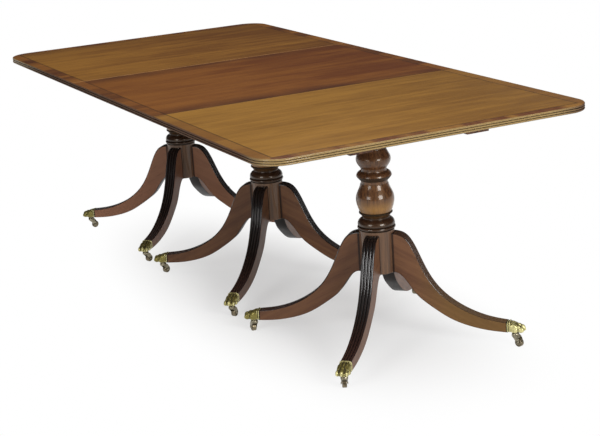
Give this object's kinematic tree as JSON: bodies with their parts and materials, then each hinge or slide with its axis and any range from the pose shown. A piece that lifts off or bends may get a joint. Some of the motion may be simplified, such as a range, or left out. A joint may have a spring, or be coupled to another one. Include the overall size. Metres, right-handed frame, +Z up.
{
  "type": "triple pedestal dining table",
  "caption": "Long dining table in sections on turned columns with splayed reeded sabre legs, brass paw caps and casters; the ends roll away and their tops tilt up.",
  "frame": {"origin": "on the floor under the axis of the middle column", "axes": "+X along the table's length to the end that is nearer in the picture, +Y across the table, +Z up"},
  "size_m": [2.2998, 1.095, 0.73],
  "materials": {
    "top_mahogany": "polished golden mahogany with a darker crossband",
    "turned_mahogany": "dark high-gloss turned mahogany",
    "leg_mahogany": "dark polished mahogany, nearly black on the reeds",
    "bearer_wood": "plain stained secondary wood",
    "cap_brass": "cast brass with dark patina in its hollows",
    "caster_brass": "aged brass",
    "iron": "forged, blackened",
    "steel": "plain bright steel"
  },
  "bodies": {
    "middle_section": {"middle_top": "top_mahogany", "middle_bearers": "bearer_wood", "middle_top_fixings": "steel", "middle_block": "bearer_wood", "middle_column": "turned_mahogany", "middle_leg_plate": "iron", "middle_toe_caps": "cap_brass", "middle_leg_front_right": "leg_mahogany", "middle_leg_back_right": "leg_mahogany", "middle_leg_back_left": "leg_mahogany", "middle_leg_front_left": "leg_mahogany"},
    "left_section": {"left_block": "bearer_wood", "left_column": "turned_mahogany", "left_leg_plate": "iron", "left_toe_caps": "cap_brass", "left_leg_front_right": "leg_mahogany", "left_leg_back_right": "leg_mahogany", "left_leg_back_left": "leg_mahogany", "left_leg_front_left": "leg_mahogany"},
    "left_tilting_top": {"left_top": "top_mahogany", "left_bearers": "bearer_wood", "left_top_fixings": "steel"},
    "right_section": {"right_block": "bearer_wood", "right_column": "turned_mahogany", "right_leg_plate": "iron", "right_toe_caps": "cap_brass", "right_leg_front_right": "leg_mahogany", "right_leg_back_right": "leg_mahogany", "right_leg_back_left": "leg_mahogany", "right_leg_front_left": "leg_mahogany"},
    "right_tilting_top": {"right_top": "top_mahogany", "right_bearers": "bearer_wood", "right_top_fixings": "steel"},
    "left_button": {"left_turn_button": "caster_brass"},
    "left_horn_front_right": {"left_caster_horn_front_right": "caster_brass"},
    "left_wheel_front_right": {"left_caster_wheel_front_right": "caster_brass"},
    "left_horn_back_right": {"left_caster_horn_back_right": "caster_brass"},
    "left_wheel_back_right": {"left_caster_wheel_back_right": "caster_brass"},
    "left_horn_back_left": {"left_caster_horn_back_left": "caster_brass"},
    "left_wheel_back_left": {"left_caster_wheel_back_left": "caster_brass"},
    "left_horn_front_left": {"left_caster_horn_front_left": "caster_brass"},
    "left_wheel_front_left": {"left_caster_wheel_front_left": "caster_brass"},
    "middle_button": {"middle_turn_button": "caster_brass"},
    "middle_horn_front_right": {"middle_caster_horn_front_right": "caster_brass"},
    "middle_wheel_front_right": {"middle_caster_wheel_front_right": "caster_brass"},
    "middle_horn_back_right": {"middle_caster_horn_back_right": "caster_brass"},
    "middle_wheel_back_right": {"middle_caster_wheel_back_right": "caster_brass"},
    "middle_horn_back_left": {"middle_caster_horn_back_left": "caster_brass"},
    "middle_wheel_back_left": {"middle_caster_wheel_back_left": "caster_brass"},
    "middle_horn_front_left": {"middle_caster_horn_front_left": "caster_brass"},
    "middle_wheel_front_left": {"middle_caster_wheel_front_left": "caster_brass"},
    "right_button": {"right_turn_button": "caster_brass"},
    "right_horn_front_right": {"right_caster_horn_front_right": "caster_brass"},
    "right_wheel_front_right": {"right_caster_wheel_front_right": "caster_brass"},
    "right_horn_back_right": {"right_caster_horn_back_right": "caster_brass"},
    "right_wheel_back_right": {"right_caster_wheel_back_right": "caster_brass"},
    "right_horn_back_left": {"right_caster_horn_back_left": "caster_brass"},
    "right_wheel_back_left": {"right_caster_wheel_back_left": "caster_brass"},
    "right_horn_front_left": {"right_caster_horn_front_left": "caster_brass"},
    "right_wheel_front_left": {"right_caster_wheel_front_left": "caster_brass"}
  },
  "joints": [
    {"name": "left_pull", "type": "slide", "parent": "middle_section", "child": "left_section", "axis": [-1, 0, 0], "range_m": [0, 0.5]},
    {"name": "left_tilt", "type": "hinge", "parent": "left_section", "child": "left_tilting_top", "pos_m": [-0.8524, 0, 0.694], "axis": [0, -1, 0], "range_deg": [0, 90]},
    {"name": "right_pull", "type": "slide", "parent": "middle_section", "child": "right_section", "axis": [1, 0, 0], "range_m": [0, 0.5]},
    {"name": "right_tilt", "type": "hinge", "parent": "right_section", "child": "right_tilting_top", "pos_m": [0.8524, 0, 0.694], "axis": [0, 1, 0], "range_deg": [0, 90]},
    {"name": "left_button_turn", "type": "hinge", "parent": "left_tilting_top", "child": "left_button", "pos_m": [-0.6454, 0, 0.696], "axis": [0, 0, 1], "range_deg": [0, 90]},
    {"name": "middle_button_turn", "type": "hinge", "parent": "middle_section", "child": "middle_button", "pos_m": [-0.122, 0, 0.696], "axis": [0, 0, 1], "range_deg": [0, 90]},
    {"name": "right_button_turn", "type": "hinge", "parent": "right_tilting_top", "child": "right_button", "pos_m": [0.6454, 0, 0.696], "axis": [0, 0, 1], "range_deg": [0, 90]},
    {"name": "left_swivel_front_right", "type": "hinge", "parent": "left_section", "child": "left_horn_front_right", "pos_m": [-0.469, -0.2984, 0.045], "axis": [0, 0, 1], "continuous": true},
    {"name": "left_spin_front_right", "type": "hinge", "parent": "left_horn_front_right", "child": "left_wheel_front_right", "pos_m": [-0.47379, -0.28524, 0.013], "axis": [-0.9397, -0.342, 0], "continuous": true},
    {"name": "left_swivel_back_right", "type": "hinge", "parent": "left_section", "child": "left_horn_back_right", "pos_m": [-0.469, 0.2984, 0.045], "axis": [0, 0, 1], "continuous": true},
    {"name": "left_spin_back_right", "type": "hinge", "parent": "left_horn_back_right", "child": "left_wheel_back_right", "pos_m": [-0.48047, 0.29037, 0.013], "axis": [0.5736, -0.8192, 0], "continuous": true},
    {"name": "left_swivel_back_left", "type": "hinge", "parent": "left_section", "child": "left_horn_back_left", "pos_m": [-1.0658, 0.2984, 0.045], "axis": [0, 0, 1], "continuous": true},
    {"name": "left_spin_back_left", "type": "hinge", "parent": "left_horn_back_left", "child": "left_wheel_back_left", "pos_m": [-1.05367, 0.2914, 0.013], "axis": [0.5, 0.866, 0], "continuous": true},
    {"name": "left_swivel_front_left", "type": "hinge", "parent": "left_section", "child": "left_horn_front_left", "pos_m": [-1.0658, -0.2984, 0.045], "axis": [0, 0, 1], "continuous": true},
    {"name": "left_spin_front_left", "type": "hinge", "parent": "left_horn_front_left", "child": "left_wheel_front_left", "pos_m": [-1.05988, -0.28571, 0.013], "axis": [-0.9063, 0.4226, 0], "continuous": true},
    {"name": "middle_swivel_front_right", "type": "hinge", "parent": "middle_section", "child": "middle_horn_front_right", "pos_m": [0.2984, -0.2984, 0.045], "axis": [0, 0, 1], "continuous": true},
    {"name": "middle_spin_front_right", "type": "hinge", "parent": "middle_horn_front_right", "child": "middle_wheel_front_right", "pos_m": [0.29037, -0.28693, 0.013], "axis": [-0.8192, -0.5736, 0], "continuous": true},
    {"name": "middle_swivel_back_right", "type": "hinge", "parent": "middle_section", "child": "middle_horn_back_right", "pos_m": [0.2984, 0.2984, 0.045], "axis": [0, 0, 1], "continuous": true},
    {"name": "middle_spin_back_right", "type": "hinge", "parent": "middle_horn_back_right", "child": "middle_wheel_back_right", "pos_m": [0.30202, 0.31192, 0.013], "axis": [-0.9659, 0.2588, 0], "continuous": true},
    {"name": "middle_swivel_back_left", "type": "hinge", "parent": "middle_section", "child": "middle_horn_back_left", "pos_m": [-0.2984, 0.2984, 0.045], "axis": [0, 0, 1], "continuous": true},
    {"name": "middle_spin_back_left", "type": "hinge", "parent": "middle_horn_back_left", "child": "middle_wheel_back_left", "pos_m": [-0.28524, 0.30319, 0.013], "axis": [-0.342, 0.9397, 0], "continuous": true},
    {"name": "middle_swivel_front_left", "type": "hinge", "parent": "middle_section", "child": "middle_horn_front_left", "pos_m": [-0.2984, -0.2984, 0.045], "axis": [0, 0, 1], "continuous": true},
    {"name": "middle_spin_front_left", "type": "hinge", "parent": "middle_horn_front_left", "child": "middle_wheel_front_left", "pos_m": [-0.30387, -0.28551, 0.013], "axis": [-0.9205, -0.3907, 0], "continuous": true},
    {"name": "right_swivel_front_right", "type": "hinge", "parent": "right_section", "child": "right_horn_front_right", "pos_m": [1.0658, -0.2984, 0.045], "axis": [0, 0, 1], "continuous": true},
    {"name": "right_spin_front_right", "type": "hinge", "parent": "right_horn_front_right", "child": "right_wheel_front_right", "pos_m": [1.05333, -0.29204, 0.013], "axis": [-0.454, -0.891, 0], "continuous": true},
    {"name": "right_swivel_back_right", "type": "hinge", "parent": "right_section", "child": "right_horn_back_right", "pos_m": [1.0658, 0.2984, 0.045], "axis": [0, 0, 1], "continuous": true},
    {"name": "right_spin_back_right", "type": "hinge", "parent": "right_horn_back_right", "child": "right_wheel_back_right", "pos_m": [1.07932, 0.30202, 0.013], "axis": [-0.2588, 0.9659, 0], "continuous": true},
    {"name": "right_swivel_back_left", "type": "hinge", "parent": "right_section", "child": "right_horn_back_left", "pos_m": [0.469, 0.2984, 0.045], "axis": [0, 0, 1], "continuous": true},
    {"name": "right_spin_back_left", "type": "hinge", "parent": "right_horn_back_left", "child": "right_wheel_back_left", "pos_m": [0.462, 0.31052, 0.013], "axis": [-0.866, -0.5, 0], "continuous": true},
    {"name": "right_swivel_front_left", "type": "hinge", "parent": "right_section", "child": "right_horn_front_left", "pos_m": [0.469, -0.2984, 0.045], "axis": [0, 0, 1], "continuous": true},
    {"name": "right_spin_front_left", "type": "hinge", "parent": "right_horn_front_left", "child": "right_wheel_front_left", "pos_m": [0.45514, -0.29645, 0.013], "axis": [-0.1392, -0.9903, 0], "continuous": true}
  ]
}
